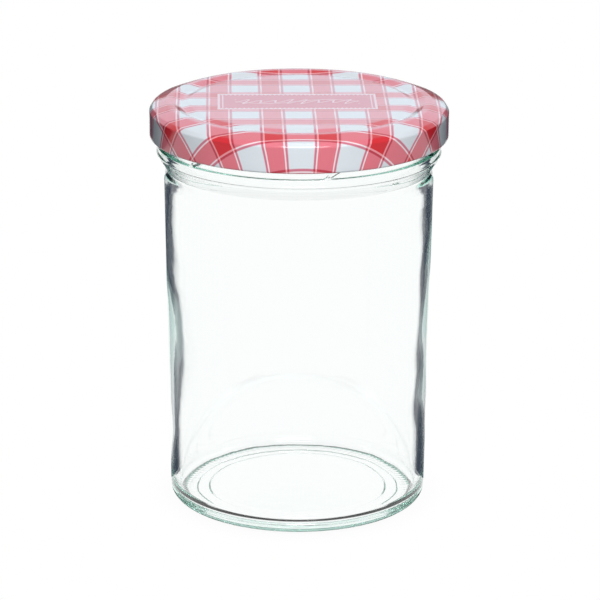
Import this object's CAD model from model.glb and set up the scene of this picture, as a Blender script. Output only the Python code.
# %% [markdown]
# A preserving jar: a straight glass with a printed twist-off lid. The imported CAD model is
# the frame that everything here is fitted to. It is loaded first, and its box is kept, so
# that the finished looks can be compared with it at the end.

# %% Load the frame
import math

import bpy
from mathutils import Euler, Matrix, Vector


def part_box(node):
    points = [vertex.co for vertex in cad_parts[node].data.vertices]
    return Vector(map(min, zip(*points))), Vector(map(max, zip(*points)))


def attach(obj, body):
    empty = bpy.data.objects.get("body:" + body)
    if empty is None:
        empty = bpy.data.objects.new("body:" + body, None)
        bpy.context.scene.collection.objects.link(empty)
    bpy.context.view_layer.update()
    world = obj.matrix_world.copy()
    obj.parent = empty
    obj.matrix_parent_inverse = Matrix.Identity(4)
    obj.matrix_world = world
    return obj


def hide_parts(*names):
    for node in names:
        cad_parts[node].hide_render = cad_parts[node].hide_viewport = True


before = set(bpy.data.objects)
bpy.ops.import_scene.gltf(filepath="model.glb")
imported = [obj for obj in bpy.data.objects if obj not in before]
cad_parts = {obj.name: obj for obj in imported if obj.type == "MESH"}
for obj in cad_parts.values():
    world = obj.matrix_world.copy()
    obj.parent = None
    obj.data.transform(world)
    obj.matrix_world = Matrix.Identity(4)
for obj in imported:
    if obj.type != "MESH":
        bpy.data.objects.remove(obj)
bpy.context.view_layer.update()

MM = 0.001
print("CAD nodes:", sorted(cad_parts))

# %% [markdown]
# The jar stands on its base and its lid sits on the glass rim. The heights and radii that
# the pieces share are read from the CAD nodes. Everything below is in millimetres until a
# vertex is placed, because jar makers' drawings are.

# %% Sizes from the frame
def node_size(node):
    """Lowest height, highest height and largest radius of a CAD node, in millimetres."""
    low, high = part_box(node)
    return low[2] / MM, high[2] / MM, high[0] / MM


_, rim_height, _ = node_size("jar_glass")
lid_seat, lid_top, lid_radius = node_size("lid_shell")
seal_low, seal_high, _ = node_size("sealing_ring")
print("glass to", round(rim_height, 2), "lid from", round(lid_seat, 2), "to", round(lid_top, 2))

# %% [markdown]
# The glass, the lid and the seal are all turned shapes, and a turned shape is drawn as half
# of its section. A drawing gives only the corners and how round each one is, so the first
# helper does the same: it puts an arc at every rounded corner.

# %% Outline with rounded corners
ARC_STEPS = 6
STRAIGHT = math.pi - 0.01


def unit(start, end):
    """The direction from one point to another, with length 1."""
    reach = math.hypot(end[0] - start[0], end[1] - start[1])
    return (end[0] - start[0]) / reach, (end[1] - start[1]) / reach


def corner_arc(before, corner, after, rounding):
    """Points of the arc that rounds a corner between two straight lines."""
    back = unit(corner, before)
    ahead = unit(corner, after)
    cosine = back[0] * ahead[0] + back[1] * ahead[1]
    opening = math.acos(max(-1.0, min(1.0, cosine)))
    if rounding == 0 or opening > STRAIGHT:
        return [corner]
    inward = unit((0, 0), (back[0] + ahead[0], back[1] + ahead[1]))
    away = rounding / math.sin(opening / 2)
    tangent = rounding / math.tan(opening / 2)
    centre = (corner[0] + inward[0] * away, corner[1] + inward[1] * away)
    angles = []
    for side in (back, ahead):
        angles.append(math.atan2(corner[1] + side[1] * tangent - centre[1],
                                 corner[0] + side[0] * tangent - centre[0]))
    sweep = (angles[1] - angles[0] + math.pi) % (2 * math.pi) - math.pi
    points = []
    for step in range(ARC_STEPS + 1):
        angle = angles[0] + sweep * step / ARC_STEPS
        points.append((centre[0] + rounding * math.cos(angle),
                       centre[1] + rounding * math.sin(angle)))
    return points


def rounded_outline(corners):
    """Turns (radius, height, rounding) corners into points, with arcs at the corners."""
    points = [corners[0][:2]]
    for before, corner, after in zip(corners, corners[1:], corners[2:]):
        points += corner_arc(before[:2], corner[:2], after[:2], corner[2])
    points.append(corners[-1][:2])
    return points


# %% [markdown]
# Some stretches need more points than their two ends, because relief is pushed out of
# them later. This helper fills an outline up, so that no gap is wider than the spacing,
# and it takes a closer spacing for the heights that carry fine relief.

# %% Points along straight stretches
def spaced(points, spacing, fine=(), fine_spacing=0.4):
    """Adds points to an outline. fine lists (low, high) heights with a closer spacing."""
    result = [points[0]]
    for start, end in zip(points, points[1:]):
        reach = math.hypot(end[0] - start[0], end[1] - start[1])
        middle = (start[1] + end[1]) / 2
        close = any(low <= middle <= high for low, high in fine)
        steps = max(1, round(reach / (fine_spacing if close else spacing)))
        for step in range(1, steps + 1):
            share = step / steps
            result.append((start[0] + (end[0] - start[0]) * share,
                           start[1] + (end[1] - start[1]) * share))
    return result


# %% [markdown]
# By hand, such a section is drawn by extruding one vertex from corner to corner, and the
# Spin tool then turns it about the jar's axis. Spin leaves the first and last copy lying on
# each other, and all the copies of a point on the axis too, so doubles are merged before
# the normals are made to point outwards.

# %% Turn an outline about the axis
def start_vertex(name, radius, height):
    """A mesh object with one vertex, selected, in edit mode."""
    bpy.ops.object.select_all(action="DESELECT")
    bpy.ops.mesh.primitive_plane_add(size=MM, location=(0, 0, 0))
    piece = bpy.context.active_object
    piece.name = name
    piece.data.name = name
    bpy.ops.object.mode_set(mode="EDIT")
    bpy.ops.mesh.select_all(action="SELECT")
    bpy.ops.mesh.merge(type="CENTER")
    bpy.ops.transform.translate(value=(radius * MM, 0, height * MM))
    return piece


def turned(name, outline, sides):
    """The outline's points, extruded in a row and spun into a closed shell or ring."""
    piece = start_vertex(name, *outline[0])
    for start, end in zip(outline, outline[1:]):
        step = ((end[0] - start[0]) * MM, 0, (end[1] - start[1]) * MM)
        bpy.ops.mesh.extrude_vertices_move(TRANSFORM_OT_translate={"value": step})
    bpy.ops.mesh.select_all(action="SELECT")
    bpy.ops.mesh.spin(steps=sides, angle=2 * math.pi, center=(0, 0, 0), axis=(0, 0, 1))
    bpy.ops.mesh.select_all(action="SELECT")
    bpy.ops.mesh.remove_doubles(threshold=0.004 * MM)
    bpy.ops.mesh.normals_make_consistent(inside=False)
    bpy.ops.object.mode_set(mode="OBJECT")
    bpy.ops.object.shade_smooth()
    print(name, "has", len(piece.data.polygons), "faces")
    return piece


# %% [markdown]
# Relief on a turned shape is pushed out of it: a vertex group says how far each vertex
# goes, and a Displace modifier moves it along its normal. The weights come from a short
# rule on the vertex's angle, radius and height, so each kind of relief is one function.

# %% Push relief out of a surface
def swell(value, low, high, edge):
    """1 between low and high, 0 outside, with soft edges of the given width."""
    rise = min(1.0, max(0.0, (value - low) / edge))
    fall = min(1.0, max(0.0, (high - value) / edge))
    share = min(rise, fall)
    return share * share * (3 - 2 * share)


def weigh(piece, name, rule):
    """A vertex group whose weights come from a rule on angle, radius and height."""
    group = piece.vertex_groups.new(name=name)
    for vertex in piece.data.vertices:
        x, y, z = vertex.co / MM
        weight = rule(math.degrees(math.atan2(y, x)) % 360, math.hypot(x, y), z)
        if weight > 0:
            group.add([vertex.index], weight, "REPLACE")
    return group


def push(piece, name, reach, rule, texture=None):
    """Moves vertices along their normals by reach times the rule's weight."""
    weigh(piece, name, rule)
    modifier = piece.modifiers.new(name, "DISPLACE")
    modifier.vertex_group = name
    modifier.strength = reach * MM
    modifier.direction = "NORMAL"
    modifier.mid_level = 0.0
    if texture is not None:
        modifier.texture = texture
        modifier.texture_coords = "LOCAL"
        modifier.mid_level = 0.5
    bpy.ops.object.select_all(action="DESELECT")
    piece.select_set(True)
    bpy.context.view_layer.objects.active = piece
    bpy.ops.object.modifier_apply(modifier=name)
    print(name, "pushed by up to", reach, "mm")


# %% [markdown]
# The glass is one closed shell: under the foot, up the outside, over the rim and down the
# inside to the floor. A bead runs round it under the lid, its heel is round, and a fine
# seam shows where the halves of the neck mould met.

# %% The glass
GLASS_SIDES = 336
WALL_SPACING = 2.2
NECK_FOOT = 105.2
NECK_RADIUS = 38.7
BEAD_RADIUS = 40.2
SEAM_HEIGHT = 103.1
SEAM_PROUD = 0.30
SEAM_HALF = 0.22
glass_corners = [
    (0, 1.2, 0),
    (25.5, 1.0, 0.2),
    (25.9, 0.5, 0.2),
    (29.0, 0.5, 0.2),
    (29.4, 0.0, 0.2),
    (36.9, 0.0, 3.0),
    (38.4, 95.0, 8.0),
    (37.85, 98.6, 1.6),
    (39.9, 101.9, 2.4),
    (BEAD_RADIUS, SEAM_HEIGHT - SEAM_HALF, 0),
    (BEAD_RADIUS + SEAM_PROUD, SEAM_HEIGHT, 0),
    (BEAD_RADIUS, SEAM_HEIGHT + SEAM_HALF, 0),
    (BEAD_RADIUS, NECK_FOOT, 0.35),
    (NECK_RADIUS, NECK_FOOT, 0.3),
    (NECK_RADIUS, rim_height, 1.2),
    (36.0, rim_height, 1.2),
    (36.0, 105.0, 3),
    (35.55, 99.5, 5),
    (35.6, 90.0, 5),
    (34.4, 2.1, 3.2),
    (0, 3.4, 0),
]
glass_outline = spaced(rounded_outline(glass_corners), WALL_SPACING,
                       fine=[(NECK_FOOT, 112.5)])
glass = turned("glass", glass_outline, GLASS_SIDES)

# %% [markdown]
# Pressed and blown glass is never quite even. The outside copies the mould, but the inside
# is left as the air pushed it, so the inner wall gets long shallow waves. They bend what
# is seen through the wall, most of all near the jar's two edges.

# %% Waves of the inner wall
WAVE_REACH = 0.7
WAVE_LENGTH = 26.0
WAVE_HEIGHTS = (8.0, 96.0)
WAVE_FADE = 16.0
WAVE_FRONT_SHARE = 0.25
INNER_RADIUS = 36.5
waves = bpy.data.textures.new("glass_waves", "CLOUDS")
waves.noise_scale = WAVE_LENGTH * MM
waves.noise_depth = 1


def inner_wall(angle, radius, height):
    """Strongest at the two sides of the inner wall, fading out before the neck and floor."""
    if radius > INNER_RADIUS:
        return 0
    sides = abs(math.cos(math.radians(angle)))
    share = WAVE_FRONT_SHARE + (1 - WAVE_FRONT_SHARE) * sides * sides
    return swell(height, *WAVE_HEIGHTS, WAVE_FADE) * share


push(glass, "inner_wall", WAVE_REACH, inner_wall, texture=waves)

# %% [markdown]
# The wall is not equally thick all round either. Two sides of this jar have a thick place,
# each a broad swelling of the inner wall, and the two lie at different heights.

# %% Thick places of the wall
THICK_PLACES = {"left_lower": (180, 18, 70, 0.8), "right_lower": (0, 8, 50, 0.25)}
THICK_SPAN = 60
THICK_FADE = 22
THICK_RADIUS = 36.2
HEEL_HEIGHT = 6


def thick_place(middle, low, high):
    """A rule that is full about one side, between two heights, on the inner wall."""
    def rule(angle, radius, height):
        if radius > THICK_RADIUS or height < HEEL_HEIGHT:
            return 0
        off = (angle - middle + 180) % 360 - 180
        round_the_jar = swell(off, -THICK_SPAN, THICK_SPAN, THICK_SPAN)
        return round_the_jar * swell(height, low, high, THICK_FADE)
    return rule


for name, (middle, low, high, reach) in THICK_PLACES.items():
    push(glass, name, reach, thick_place(middle, low, high))

# %% [markdown]
# The neck carries six short thread ridges for the lid's lugs. Each is a slanted band that
# stands out of the neck, and its low end runs out towards the bead.

# %% Thread ridges
RIDGE_COUNT = 6
RIDGE_GAP = 360 / RIDGE_COUNT
RIDGE_SPAN = 40
RIDGE_RISE = 2.4
RIDGE_LOW = 109.6
RIDGE_HEIGHT = 1.7
RIDGE_PROUD = 1.35
TAIL_SPAN = 15
TAIL_DROP = 3.9
RIDGE_EDGE = 0.6
RIDGE_END = 2.5


def thread_ridge(angle, radius, height):
    """Full on a ridge, by how far round and how high the point is."""
    if radius < NECK_RADIUS - 0.4 or height < NECK_FOOT:
        return 0
    off = (angle + RIDGE_GAP / 2) % RIDGE_GAP - RIDGE_GAP / 2
    lean = RIDGE_RISE * off / RIDGE_SPAN
    tail = max(0.0, -off - (RIDGE_SPAN / 2 - TAIL_SPAN)) / TAIL_SPAN
    low = RIDGE_LOW - RIDGE_HEIGHT / 2 + lean - TAIL_DROP * tail * tail
    return (swell(height, low, low + RIDGE_HEIGHT, RIDGE_EDGE)
            * swell(off, -RIDGE_SPAN / 2, RIDGE_SPAN / 2, RIDGE_END))


push(glass, "thread_ridges", RIDGE_PROUD, thread_ridge)

# %% [markdown]
# The ring that the jar stands on is knurled: the mould cuts small radial notches in it, so
# that the hot jar touches the conveyor in few places. Every notch is one side of the
# shell, pushed up by a fraction of a millimetre.

# %% Knurled resting ring
KNURL_STEP = 360 / GLASS_SIDES * 3
KNURL_DEPTH = -0.12
KNURL_RADII = (29.4, 32.4)
KNURL_EDGE = 0.6
KNURL_TOP = 0.25
NOTCH_SHARE = 0.45


def knurl(angle, radius, height):
    """Full in every notch of the resting ring."""
    if height > KNURL_TOP:
        return 0
    turn = (angle / KNURL_STEP) % 1
    return swell(radius, *KNURL_RADII, KNURL_EDGE) if turn < NOTCH_SHARE else 0


push(glass, "knurl", KNURL_DEPTH, knurl)
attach(glass, "root")
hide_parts("jar_glass")

# %% [markdown]
# The lid is a drawn sheet of tinplate: a flat panel, a valley round it, a raised ring, a
# slope and a skirt that ends in a curl. The outside carries the print, so its points are
# made first, and their distance along the sheet is used for the print further down.

# %% The lid
LID_SIDES = 192
SHEET_WALL = 0.6
CURL_DEPTH = 1.4
PANEL_DROP = 0.3
VALLEY_DROP = 0.9
lid_outside = spaced(rounded_outline([
    (0, lid_top - PANEL_DROP, 0),
    (31.0, lid_top - PANEL_DROP, 4),
    (33.4, lid_top - VALLEY_DROP, 1.6),
    (35.8, lid_top, 2),
    (37.6, lid_top, 3),
    (41.6, lid_top - 1.35, 1.2),
    (lid_radius, lid_top - 2.45, 0.9),
    (lid_radius, lid_seat, 0.65),
    (lid_radius - CURL_DEPTH, lid_seat, 0.65),
    (lid_radius - CURL_DEPTH, lid_seat + CURL_DEPTH, 0.3),
]), 1.5)
lid_inside = spaced(rounded_outline([
    (lid_radius - CURL_DEPTH, lid_seat + CURL_DEPTH, 0),
    (lid_radius - SHEET_WALL, lid_seat + CURL_DEPTH, 0.2),
    (lid_radius - SHEET_WALL, lid_top - 2.8 - SHEET_WALL, 0.8),
    (41.6 - SHEET_WALL, lid_top - 1.6 - SHEET_WALL, 1),
    (37.6, lid_top - SHEET_WALL, 2),
    (35.8, lid_top - SHEET_WALL, 2),
    (33.4, lid_top - VALLEY_DROP - SHEET_WALL, 1.6),
    (31.0, lid_top - PANEL_DROP - SHEET_WALL, 4),
    (0, lid_top - PANEL_DROP - SHEET_WALL, 0),
]), 1.5)
lid = turned("lid", lid_outside + lid_inside[1:], LID_SIDES)

# %% [markdown]
# The sheet is printed flat and drawn into a lid afterwards. Drawing keeps the sheet's
# area, so a ring of the lid comes from the flat ring that holds as much sheet. That flat
# place is stored on every vertex, and the print is painted in it. It is what bends the
# stripes into arches on the skirt.

# %% Flat place of every point of the lid
def flat_radii(outline):
    """For each outline point, the radius on the flat sheet that it was drawn from."""
    radii = [outline[0][0]]
    area = outline[0][0] ** 2
    for start, end in zip(outline, outline[1:]):
        reach = math.hypot(end[0] - start[0], end[1] - start[1])
        area += (start[0] + end[0]) * reach
        radii.append(math.sqrt(area))
    return radii


def store_flat_place(piece, outline):
    """Writes the flat place of each vertex as a point attribute, in metres."""
    table = [(radius, height, flat) for (radius, height), flat
             in zip(outline, flat_radii(outline))]
    layer = piece.data.attributes.new("flat_place", "FLOAT_VECTOR", "POINT")
    for vertex, item in zip(piece.data.vertices, layer.data):
        x, y, z = vertex.co / MM
        radius = math.hypot(x, y)
        near = min(table, key=lambda row: abs(row[0] - radius) + abs(row[1] - z))
        angle = math.atan2(y, x)
        item.vector = (near[2] * math.cos(angle) * MM, near[2] * math.sin(angle) * MM, 0)


store_flat_place(lid, lid_outside)
print("flat sheet radius", round(flat_radii(lid_outside)[-1], 2), "mm")

# %% [markdown]
# The curl is pressed inwards at six places. These lugs grip under the thread ridges when
# the lid is twisted on. They are pushed out of the curl's inner side.

# %% Lugs of the curl
LUG_SPAN = 16
LUG_REACH = 1.5
LUG_END = 2.0


def lug(angle, radius, height):
    """Full on the inner side of the curl, at six places round the lid."""
    if radius > lid_radius - CURL_DEPTH + 0.15 or height > lid_seat + CURL_DEPTH + 0.1:
        return 0
    off = (angle + RIDGE_GAP / 2) % RIDGE_GAP - RIDGE_GAP / 2
    return swell(off, -LUG_SPAN / 2, LUG_SPAN / 2, LUG_END)


push(lid, "lugs", LUG_REACH, lug)
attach(lid, "root")
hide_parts("lid_shell")

# %% [markdown]
# The sealing ring is soft compound, poured into the lid's channel, where the glass rim
# presses a shallow groove into it.

# %% The sealing ring
seal_outline = spaced(rounded_outline([
    (35.0, seal_low + 0.1, 0),
    (36.2, seal_low, 0.4),
    (38.9, seal_low, 0.3),
    (37.6, seal_high, 0.3),
    (35.8, seal_high, 0.3),
    (35.0, seal_low + 0.45, 0.1),
    (35.0, seal_low + 0.1, 0),
]), 1.0)
seal = turned("seal", seal_outline, LID_SIDES)
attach(seal, "root")
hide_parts("sealing_ring")

# %% [markdown]
# Materials are written as small sums. A Value wraps a node's output socket, so that adding
# or comparing two of them adds the Math node that does it.

# %% Shader sums
class Value:
    """A number that varies over the surface: the output socket of a node."""

    def __init__(self, paint, socket):
        self.paint = paint
        self.socket = socket

    def math(self, operation, *others):
        inputs = {0: self}
        for number, other in enumerate(others, start=1):
            inputs[number] = other
        return self.paint.node("ShaderNodeMath", {"operation": operation}, inputs)

    def __add__(self, other):
        return self.math("ADD", other)

    __radd__ = __add__

    def __sub__(self, other):
        return self.math("SUBTRACT", other)

    def __rsub__(self, other):
        return self.paint.node("ShaderNodeMath", {"operation": "SUBTRACT"}, {0: other, 1: self})

    def __mul__(self, other):
        return self.math("MULTIPLY", other)

    __rmul__ = __mul__

    def __truediv__(self, other):
        return self.math("DIVIDE", other)

    def size(self):
        return self.math("ABSOLUTE")

    def vector_length(self):
        return self.paint.node("ShaderNodeVectorMath", {"operation": "LENGTH"}, {0: self}, output=1)

    def either(self, other):
        return self.math("MAXIMUM", other)


class Paint:
    """A material's node tree, and the one way that nodes are added to it."""

    def __init__(self, name):
        self.material = bpy.data.materials.new(name)
        self.material.use_nodes = True
        self.tree = self.material.node_tree
        self.shader = self.tree.nodes["Principled BSDF"]
        self.output = self.tree.nodes["Material Output"]

    def connect(self, socket, value):
        """Sets a socket to a number or colour, or links a Value to it."""
        if isinstance(value, Value):
            self.tree.links.new(value.socket, socket)
        else:
            socket.default_value = value

    def node(self, kind, settings=None, inputs=None, output=0):
        """Adds a node: its type, then its settings, then its sockets."""
        made = self.tree.nodes.new(kind)
        for key, setting in (settings or {}).items():
            setattr(made, key, setting)
        for key, value in (inputs or {}).items():
            self.connect(made.inputs[key], value)
        return Value(self, made.outputs[output])

    def set(self, **sockets):
        """Sets the Principled shader's sockets, named with underscores for spaces."""
        for key, value in sockets.items():
            self.connect(self.shader.inputs[key.replace("_", " ")], value)

    def mix(self, share, first, second):
        """A colour between two colours."""
        return self.node("ShaderNodeMix", {"data_type": "RGBA"},
                         {0: share, 6: first, 7: second}, output=2)

    def part(self, vector, axis):
        """One number of a vector: 0 for X, 1 for Y, 2 for Z."""
        return self.node("ShaderNodeSeparateXYZ", {}, {0: vector}, output=axis)

    def step(self, value, edge, blur):
        """0 below the edge and 1 above it, smooth over twice the blur."""
        return self.node("ShaderNodeMapRange", {"interpolation_type": "SMOOTHSTEP"},
                         {0: value, 1: edge - blur, 2: edge + blur})

    def noise(self, place, scale, detail=2.0):
        """Cloudy noise from 0 to 1. The scale is in features per metre."""
        return self.node("ShaderNodeTexNoise", {},
                         {"Vector": place, "Scale": scale, "Detail": detail})

    def place(self):
        """The point's place on the object, in metres."""
        return self.node("ShaderNodeTexCoord", {}, {}, output=3)

    def ray(self, fact):
        """What the Light Path node says of the ray that arrives."""
        return self.node("ShaderNodeLightPath", {}, {}, output=fact)

    def bump(self, height, distance):
        """A normal that follows a height. The distance is what height 1 stands for."""
        return self.node("ShaderNodeBump", {},
                         {"Strength": 1.0, "Distance": distance, "Height": height})


def ink(red, green, blue):
    """A colour given as it looks on a screen, from 0 to 255, as the shader needs it."""
    channels = []
    for part in (red, green, blue):
        share = part / 255
        if share <= 0.04045:
            channels.append(share / 12.92)
        else:
            channels.append(((share + 0.055) / 1.055) ** 2.4)
    return (*channels, 1.0)


# %% [markdown]
# Jar glass is clear soda-lime glass. It bends light by 1.52 and takes a little red out of
# it, which shows only where a ray runs a long way inside the wall, as in the bead and the
# heel. The absorption is a volume, so thick places come out greener by themselves.

# %% Glass finish
GLASS_BEND = 1.52
GLASS_TINT = (0.42, 0.82, 0.72, 1)
GLASS_DENSITY = 11.0


def glass_finish():
    paint = Paint("clear_glass")
    grain = paint.noise(paint.place(), 220.0)
    paint.set(Base_Color=(1, 1, 1, 1), IOR=GLASS_BEND, Transmission_Weight=1.0, Roughness=0.0,
              Normal=paint.bump(grain, 0.01 * MM))
    tint = paint.node("ShaderNodeVolumeAbsorption", {},
                      {"Color": GLASS_TINT, "Density": GLASS_DENSITY})
    paint.tree.links.new(tint.socket, paint.output.inputs["Volume"])
    return paint.material


glass.data.materials.append(glass_finish())

# %% [markdown]
# The print is gingham: bands of pink run both ways and turn red where they cross. Each
# band is edged by a thin white line and a darker line. One function draws a set of bands
# along one flat direction, and the two sets are laid over each other.

# %% Gingham bands
PITCH = 14.82
BAND_HALF = 3.62
LINE_OUTER = 2.92
LINE_INNER = 2.58
PRINT_BLUR = 0.14
PRINT_TURN = math.radians(1.45)
PRINT_SHIFT = (6.92, 6.97)
BANDS_ASIDE = 20


def band_masks(paint, place):
    """Masks of the dark edge lines, the white lines and the pink middle of the bands."""
    wrapped = (place / PITCH + BANDS_ASIDE).math("FRACT") - 0.5
    off_centre = (0.5 - wrapped.size()) * PITCH
    inside_band = 1 - paint.step(off_centre, BAND_HALF, PRINT_BLUR)
    inside_line = 1 - paint.step(off_centre, LINE_OUTER, PRINT_BLUR)
    inside_pink = 1 - paint.step(off_centre, LINE_INNER, PRINT_BLUR)
    return inside_band - inside_line, inside_line - inside_pink, inside_pink


# %% [markdown]
# The inks are layered as a printer would: pink bands over a bluish white, a darker red
# where bands cross, then the dark lines and the white lines. A fine diagonal weave in the
# coloured parts makes the print look like woven cloth.

# %% Gingham colours
GROUND = ink(226, 234, 241)
PINK = ink(230, 112, 128)
RED = ink(216, 10, 34)
DARK_LINE = ink(212, 118, 140)
DARK_ON_PINK = ink(196, 44, 66)
WHITE_LINE = ink(255, 232, 238)
LINE_ON_PINK = ink(246, 142, 152)
WEAVE_PITCH = 0.62
WEAVE_SHARE = 0.06


def gingham(paint, across, along):
    """The colour of the gingham at a flat place, in millimetres."""
    dark_v, white_v, pink_v = band_masks(paint, across)
    dark_h, white_h, pink_h = band_masks(paint, along)
    colour = paint.mix(pink_v.either(pink_h), GROUND, PINK)
    colour = paint.mix(pink_v * pink_h, colour, RED)
    thread = ((across + along) / WEAVE_PITCH + BANDS_ASIDE * PITCH).math("FRACT")
    weave = ((thread - 0.5).size() * 2) * (pink_v + pink_h - pink_v * pink_h * 2) * WEAVE_SHARE
    colour = paint.mix(weave, colour, WHITE_LINE)
    colour = paint.mix(dark_v.either(dark_h), colour, DARK_LINE)
    dark_on_pink = (dark_v * pink_h).either(dark_h * pink_v)
    colour = paint.mix(dark_on_pink.either(dark_v * dark_h), colour, DARK_ON_PINK)
    colour = paint.mix(white_v.either(white_h), colour, WHITE_LINE)
    busy_h = pink_h.either(dark_h)
    busy_v = pink_v.either(dark_v)
    crossing_line = (white_v * busy_h).either(white_h * busy_v)
    return paint.mix(crossing_line, colour, LINE_ON_PINK)


# %% [markdown]
# In the middle of the panel the print has a plaque: a pink field framed by pale lines,
# with pinked edges above and below. It holds a plain ornament: a leaning scroll that
# swells twice, over one long tail, in thin pale strokes.

# %% Plaque with an ornament
PLAQUE_CENTRE = (-0.6, -0.25)
PLAQUE_HALF = (22.5, 8.75)
FRAME_ENDS = 0.6
END_GAP = 0.7
END_LINE = 0.3
FRAME_SIDES = 0.8
TOOTH_PITCH = 1.25
TOOTH_REACH = 0.9
FINE_BLUR = 0.09
FIELD = ink(218, 104, 122)
FRAME_LINE = ink(246, 214, 222)
STROKE = 0.19
SCROLL_HALF = 17.5
SCROLL_PITCH = 4.1
SCROLL_SWING = 1.7
SCROLL_LEAN = 0.75
SWELL_PITCH = 16.0
TAIL_RISE = 2.3
SWELL_SHARE = 0.45
STEEP_SHARE = 0.8
STROKE_BLUR = 0.07
END_BLUR = 0.4
MARK_SHARE = 0.85


def within(paint, value, half, blur=FINE_BLUR):
    """1 where a value is nearer to 0 than half."""
    return 1 - paint.step(value.size(), half, blur)


def box_mask(paint, across, along, half_across, half_along):
    """1 inside a rectangle about the plaque's centre."""
    return within(paint, across, half_across) * within(paint, along, half_along)


def ornament(paint, across, along):
    """A mask of thin strokes: a leaning scroll that swells twice, over a long tail."""
    size = (across * (2 * math.pi / SWELL_PITCH)).math("COSINE") * SWELL_SHARE + 1
    turn = (across - along * SCROLL_LEAN) * (2 * math.pi / SCROLL_PITCH)
    scroll = along - turn.math("SINE") * size * SCROLL_SWING
    steep = turn.math("COSINE").size() * size * (SCROLL_SWING * 2 * math.pi / SCROLL_PITCH)
    near_scroll = within(paint, scroll / (steep * STEEP_SHARE + 1), STROKE, STROKE_BLUR)
    tail = (across * (math.pi / SCROLL_HALF)).math("SINE") * TAIL_RISE - along
    near_tail = within(paint, tail, STROKE, STROKE_BLUR)
    return near_scroll.either(near_tail) * within(paint, across, SCROLL_HALF, END_BLUR)


def plaque(paint, colour, across, along):
    """Lays the plaque over a colour."""
    across = across - PLAQUE_CENTRE[0]
    along = along - PLAQUE_CENTRE[1]
    outer = box_mask(paint, across, along, *PLAQUE_HALF)
    ends = PLAQUE_HALF[0] - FRAME_ENDS
    sides = PLAQUE_HALF[1] - FRAME_SIDES
    tooth = (across / TOOTH_PITCH + BANDS_ASIDE * 2).math("FRACT") - 0.5
    cut = along.size() + tooth.size() * (2 * TOOTH_REACH)
    field = within(paint, across, ends) * (1 - paint.step(cut, sides, FINE_BLUR))
    off_end = across.size() - (ends - END_GAP - END_LINE / 2)
    end_line = within(paint, off_end, END_LINE / 2) * within(paint, along, sides - TOOTH_REACH)
    colour = paint.mix(outer, colour, FRAME_LINE)
    colour = paint.mix(field, colour, FIELD)
    marks = end_line.either(ornament(paint, across, along) * MARK_SHARE)
    return paint.mix(marks, colour, FRAME_LINE)


# %% [markdown]
# Over the print lies a clear lacquer, which is the coat of the shader. It mirrors the
# pale room, most of all at a low angle, and that is the pale haze over the flat panel.
# Tiny waves of the sheet keep the mirror from being perfect.

# %% Printed lid finish
def print_finish():
    paint = Paint("printed_lid")
    flat = paint.node("ShaderNodeAttribute", {"attribute_name": "flat_place"}, output=1)
    turned_flat = paint.node("ShaderNodeMapping", {"vector_type": "POINT"},
                             {"Vector": flat, "Rotation": (0, 0, -PRINT_TURN),
                              "Scale": (1 / MM, 1 / MM, 1)})
    across = paint.part(turned_flat, 0)
    along = paint.part(turned_flat, 1)
    colour = gingham(paint, across - PRINT_SHIFT[0], along - PRINT_SHIFT[1])
    colour = plaque(paint, colour, across, along)
    sheet_waves = paint.noise(paint.place(), 160.0, 3.0)
    paint.set(Base_Color=colour, Roughness=0.35, Coat_Weight=1.0, Coat_Roughness=0.11,
              Coat_IOR=1.45, Specular_IOR_Level=0.1,
              Normal=paint.bump(sheet_waves, 0.03 * MM))
    return paint.material


lid.data.materials.append(print_finish())

# %% [markdown]
# The inside of the lid has no print. It has a grey lacquer against the food.

# %% Inner lacquer
def lacquer_finish():
    paint = Paint("inner_lacquer")
    cloud = paint.noise(paint.place(), 300.0)
    colour = paint.mix(cloud, ink(104, 104, 100), ink(116, 116, 111))
    paint.set(Base_Color=colour, Roughness=0.3 + cloud * 0.1)
    return paint.material


def slot_inside(piece, material, inside):
    """Gives a material to the faces that a rule on radius, height and normal picks."""
    piece.data.materials.append(material)
    index = len(piece.data.materials) - 1
    count = 0
    for face in piece.data.polygons:
        x, y, z = face.center / MM
        if inside(math.hypot(x, y), z, face.normal):
            face.material_index = index
            count += 1
    print(material.name, "on", count, "faces")


def under_sheet(radius, height, normal):
    """True for the lid's inner side and for the inner half of the curl."""
    if height < lid_seat + CURL_DEPTH + 0.3:
        return radius < lid_radius - CURL_DEPTH / 2
    return radius < lid_radius - 0.2 and normal[2] < 0.2


slot_inside(lid, lacquer_finish(), under_sheet)

# %% [markdown]
# The sealing compound is a soft off-white plastisol.

# %% Sealing compound finish
def compound_finish():
    paint = Paint("sealing_compound")
    grain = paint.noise(paint.place(), 900.0)
    colour = paint.mix(grain, ink(220, 217, 208), ink(231, 228, 220))
    paint.set(Base_Color=colour, Roughness=0.5 + grain * 0.15,
              Normal=paint.bump(grain, 0.02 * MM))
    return paint.material


seal.data.materials.append(compound_finish())

# %% [markdown]
# The set is a plain white floor under a white sky. The floor keeps a faint shadow for the
# eye. Rays that reach it by a mirror or through the glass see it plain white but for a dark
# ring where the jar stands, which no light gets under. It is thin behind and wider in front.

# %% Floor
FLOOR_SIZE = 8.0
SHADOW_REACH = 0.008
SHADOW_SHARE = 0.045
FLOOR_WHITE = (0.55, 0.55, 0.55, 1)
CONTACT_INNER = 33.3
CONTACT_FRONT = 36.8
CONTACT_BACK = 35.1
CONTACT_SIDE = 39.0
CONTACT_DARK = 0.98
CONTACT_THINNER = 0.8
INNER_BLUR = 0.4
OUTER_BLUR = 0.3
BEHIND_BLUR = 10
SIDE_FROM = 31
SIDE_BLUR = 4


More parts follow.
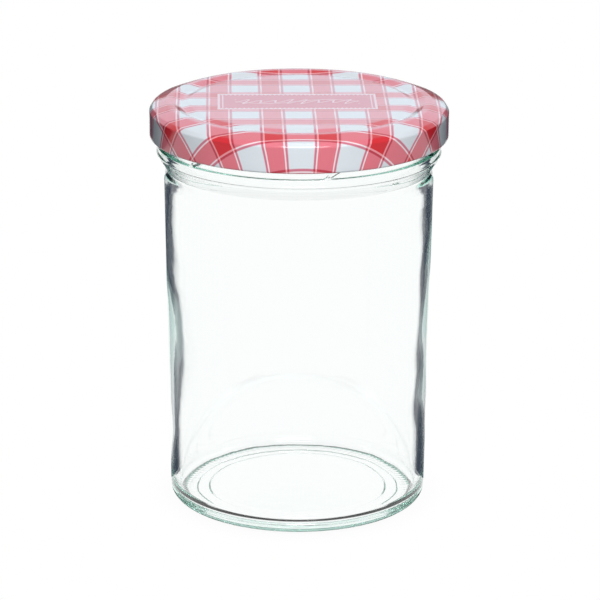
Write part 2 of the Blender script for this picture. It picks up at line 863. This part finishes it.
def contact_ring(paint):
    """A mask of the ring where the jar stands."""
    place = paint.place()
    off_axis = place.vector_length() / MM
    behind = paint.step(paint.part(place, 1) / MM, 0, BEHIND_BLUR)
    beside = paint.step(paint.part(place, 0).size() / MM, SIDE_FROM, SIDE_BLUR)
    outer = CONTACT_FRONT - behind * (CONTACT_FRONT - CONTACT_BACK)
    outer = outer + beside * (1 - behind) * (CONTACT_SIDE - CONTACT_FRONT)
    inner = CONTACT_INNER + behind * CONTACT_THINNER
    return (paint.step(off_axis - inner, 0, INNER_BLUR)
            * (1 - paint.step(off_axis - outer, 0, OUTER_BLUR)) * CONTACT_DARK)


def floor_finish():
    paint = Paint("white_floor")
    tree = paint.tree
    tree.nodes.remove(paint.shader)
    camera_ray = paint.ray("Is Camera Ray")
    seen = camera_ray.either(paint.ray("Is Glossy Ray")).either(paint.ray("Is Transmission Ray"))
    lit = paint.node("ShaderNodeBsdfDiffuse", {}, {"Color": FLOOR_WHITE})
    shade = paint.node("ShaderNodeAmbientOcclusion", {"samples": 16},
                       {"Distance": SHADOW_REACH}, output=1)
    contact = contact_ring(paint)
    shade = 1 - ((1 - shade) * SHADOW_SHARE * camera_ray).either(contact * (1 - camera_ray))
    white = paint.node("ShaderNodeEmission", {}, {"Strength": shade})
    result = paint.node("ShaderNodeMixShader", {},
                        {0: seen, 1: lit, 2: white})
    tree.links.new(result.socket, paint.output.inputs["Surface"])
    return paint.material


bpy.ops.object.select_all(action="DESELECT")
bpy.ops.mesh.primitive_plane_add(size=FLOOR_SIZE, location=(0, 0, 0))
floor = bpy.context.active_object
floor.name = "floor"
floor.data.materials.append(floor_finish())

# %% [markdown]
# Two dark cards stand close beside the jar, unseen by the camera. Glass against white has
# no edge of its own: these cards are what its sides mirror, so they draw its outline. It is
# how clear glass is always lit in a studio. Each card's inner side is cut along the jar's
# outline with a gap that widens at some heights, which leaves a pale edge there. The
# cards are meant for light that is mirrored inside one wall, which crosses the surface of
# the glass twice, so any other ray hardly sees them.

# %% Dark cards
CARD_BEHIND = 0.006
CARD_INNER = 0.0375
CARD_OUTER = 0.110
CARD_LOW = 0.001
CARD_HIGH = 0.122
CARD_DARK = ink(62, 70, 82)
CARD_BLUR = 0.7
CARD_DIRECT = 0.10
WALL_CROSSINGS = 2
STRIP_OUTER = 53.0
STRIP_BLUR = 4.0
CARD_GAP = 0.8
LID_GAP = 5.0
BEAD_GAP = 5.0
BEAD_HEIGHTS = (95, 104)
BEAD_BLUR = 1.5
GAP_BLUR = 6
RIPPLE_SCALE = 45.0
RIPPLE_REACH = 2.0
FOOT_RADIUS = 36.9
WALL_TAPER = 1.5 / 95
WIDE_GAPS = {"left": [(20, 58, 3.6), (10, 20, 6.0)], "right": [(34, 64, 3.8), (16, 34, 1.8)]}


def card_finish(name):
    """Dark from the gap outwards, and clear nearer to the jar, with a soft edge between."""
    paint = Paint(name)
    tree = paint.tree
    tree.nodes.remove(paint.shader)
    place = paint.place()
    off_axis = paint.part(place, 0).size() / MM
    height = paint.part(place, 2) / MM
    bulge = 0
    for low, high, widening in WIDE_GAPS[name]:
        between = paint.step(height, low, GAP_BLUR) * (1 - paint.step(height, high, GAP_BLUR))
        bulge = between * widening + bulge
    under_lid = paint.step(height, BEAD_HEIGHTS[0], BEAD_BLUR)
    at_bead = under_lid * (1 - paint.step(height, BEAD_HEIGHTS[1], BEAD_BLUR))
    ripple = paint.noise(place, RIPPLE_SCALE) - 0.5
    edge = height * WALL_TAPER + FOOT_RADIUS + CARD_GAP + bulge
    edge = edge + under_lid * LID_GAP + at_bead * BEAD_GAP
    off_edge = off_axis - edge + ripple * RIPPLE_REACH
    end = 1 - paint.step(off_axis, STRIP_OUTER, STRIP_BLUR) * (1 - under_lid)
    mirrored = paint.ray("Glossy Depth").math("MINIMUM", 1)
    crossed = paint.ray("Transmission Depth")
    mirrored = mirrored * (1 - paint.step(crossed, WALL_CROSSINGS + 0.5, 0.2))
    mirrored = mirrored * (1 - CARD_DIRECT) + CARD_DIRECT
    dark = paint.step(off_edge, 0, CARD_BLUR) * end * mirrored
    clear = paint.node("ShaderNodeBsdfTransparent")
    card = paint.node("ShaderNodeEmission", {}, {"Color": CARD_DARK})
    result = paint.node("ShaderNodeMixShader", {}, {0: dark, 1: clear, 2: card})
    tree.links.new(result.socket, paint.output.inputs["Surface"])
    return paint.material


def upright(name, size, place, unseen_by, turn=0):
    """An upright plane of the stage that some kinds of ray don't see."""
    bpy.ops.object.select_all(action="DESELECT")
    bpy.ops.mesh.primitive_plane_add(size=1, rotation=(math.radians(90), 0, math.radians(turn)))
    piece = bpy.context.active_object
    piece.name = name
    piece.scale = (*size, 1)
    piece.location = place
    bpy.ops.object.transform_apply(location=True, rotation=True, scale=True)
    for ray in unseen_by:
        setattr(piece, "visible_" + ray, False)
    print(name, "stands at", place)
    return piece


def dark_card(name, side):
    """A dark card beside the jar, for the glass and the lid to mirror."""
    middle = (side * (CARD_OUTER + CARD_INNER) / 2, CARD_BEHIND, (CARD_HIGH + CARD_LOW) / 2)
    size = (CARD_OUTER - CARD_INNER, CARD_HIGH - CARD_LOW)
    card = upright("card_" + name, size, middle, ("camera", "shadow"))
    card.data.materials.append(card_finish(name))


dark_card("left", -1)
dark_card("right", 1)

# %% [markdown]
# Far behind stand two wide boards that only mirrors see: a bright one, whose haze lies on
# the flat panel of the lid, and under it a dark one at the horizon, which keeps the far rim
# of the lid from fading into the background.

# %% Boards behind
BOARD_AWAY = 0.9
BOARD_WIDE = 2.6
BRIGHT_BOARD = (0.24, 0.95, (1.12, 1.26, 1.40))
DARK_BOARD = (0.01, 0.22, (0.10, 0.10, 0.10))


def even_finish(name, colour):
    """One even tone that no light changes."""
    paint = Paint(name)
    paint.tree.nodes.remove(paint.shader)
    glow = paint.node("ShaderNodeEmission", {}, {"Color": (*colour, 1)})
    paint.tree.links.new(glow.socket, paint.output.inputs["Surface"])
    return paint.material


def board(name, low, high, colour):
    """A wide upright board behind the jar, lit evenly."""
    piece = upright(name, (BOARD_WIDE, high - low), (0, BOARD_AWAY, (low + high) / 2),
                    ("camera", "diffuse", "transmission", "shadow"))
    piece.data.materials.append(even_finish(name, colour))


board("bright_board", *BRIGHT_BOARD)
board("dark_board", *DARK_BOARD)

# %% [markdown]
# Two black flags stand at the left and the right, further out than the cards. They take
# the soft light away from the lid's ends, so that its round form shows.

# %% Flags
FLAG_SIZE = (0.7, 1.0)
FLAG_AWAY = 0.16
FLAG_HEIGHT = 0.25
FLAG_BLACK = (0.0, 0.0, 0.0)


def flag(name, side):
    """An upright black plane that only takes soft light away."""
    piece = upright(name, FLAG_SIZE, (side * FLAG_AWAY, 0, FLAG_HEIGHT),
                    ("camera", "glossy", "transmission", "shadow"), turn=90)
    piece.data.materials.append(even_finish(name, FLAG_BLACK))


flag("left_flag", -1)
flag("right_flag", 1)

# %% [markdown]
# The sky is plain white where it is seen, and gives soft light from all sides. A softbox
# hangs in front, above the camera. It lights the top and the front of the lid evenly, lets
# the lid's sides fall off, and puts the bright line on the corner of the lid.

# %% Sky and softbox
SKY_FILL = 0.32
SOFTBOX_PLACE = (0.06, -0.70, 0.80)
SOFTBOX_SIZE = (0.52, 0.40)
SOFTBOX_AIM = (0.0, 0.0, 0.10)
SOFTBOX_POWER = 9.3

world = bpy.data.worlds.new("studio")
bpy.context.scene.world = world
world.use_nodes = True
nodes = world.node_tree.nodes
rays = nodes.new("ShaderNodeLightPath")
sky = nodes["Background"]
sky.inputs["Color"].default_value = (1, 1, 1, 1)
seen = rays.outputs["Is Camera Ray"]
for ray in ("Is Glossy Ray", "Is Transmission Ray"):
    either = nodes.new("ShaderNodeMath")
    either.operation = "MAXIMUM"
    world.node_tree.links.new(seen, either.inputs[0])
    world.node_tree.links.new(rays.outputs[ray], either.inputs[1])
    seen = either.outputs[0]
strength = nodes.new("ShaderNodeMapRange")
strength.inputs["To Min"].default_value = SKY_FILL
world.node_tree.links.new(seen, strength.inputs["Value"])
world.node_tree.links.new(strength.outputs[0], sky.inputs["Strength"])

softbox_data = bpy.data.lights.new("softbox", "AREA")
softbox_data.shape = "RECTANGLE"
softbox_data.size = SOFTBOX_SIZE[0]
softbox_data.size_y = SOFTBOX_SIZE[1]
softbox_data.energy = SOFTBOX_POWER
softbox = bpy.data.objects.new("softbox", softbox_data)
bpy.context.collection.objects.link(softbox)
softbox.location = SOFTBOX_PLACE
aim = Vector(SOFTBOX_AIM) - Vector(SOFTBOX_PLACE)
softbox.rotation_euler = aim.to_track_quat("-Z", "Y").to_euler()

# %% [markdown]
# The camera stands about a metre away and looks down on the jar through a long lens. It
# is tipped down first and then rolled a hair about its own view line.

# %% Camera
CAMERA_AWAY = 0.9191
CAMERA_HIGH = 0.3534
CAMERA_DOWN = math.radians(17.81)
CAMERA_ROLL = math.radians(0.28)
LENS = 200.7
SENSOR = 36.0
CAMERA_SHIFT = 0.00293
GLASS_BOUNCES = 96
camera_data = bpy.data.cameras.new("camera")
camera_data.lens = LENS
camera_data.sensor_width = SENSOR
camera_data.shift_x = CAMERA_SHIFT
camera = bpy.data.objects.new("camera", camera_data)
bpy.context.collection.objects.link(camera)
tipped = Euler((math.radians(90) - CAMERA_DOWN, 0, 0)).to_matrix().to_4x4()
rolled = Matrix.Rotation(CAMERA_ROLL, 4, "Z")
camera.matrix_world = Matrix.Translation((0, -CAMERA_AWAY, CAMERA_HIGH)) @ tipped @ rolled
bpy.context.scene.camera = camera
bpy.context.scene.view_settings.view_transform = "Standard"
bpy.context.scene.cycles.max_bounces = GLASS_BOUNCES
bpy.context.scene.cycles.glossy_bounces = GLASS_BOUNCES
bpy.context.scene.cycles.transmission_bounces = GLASS_BOUNCES
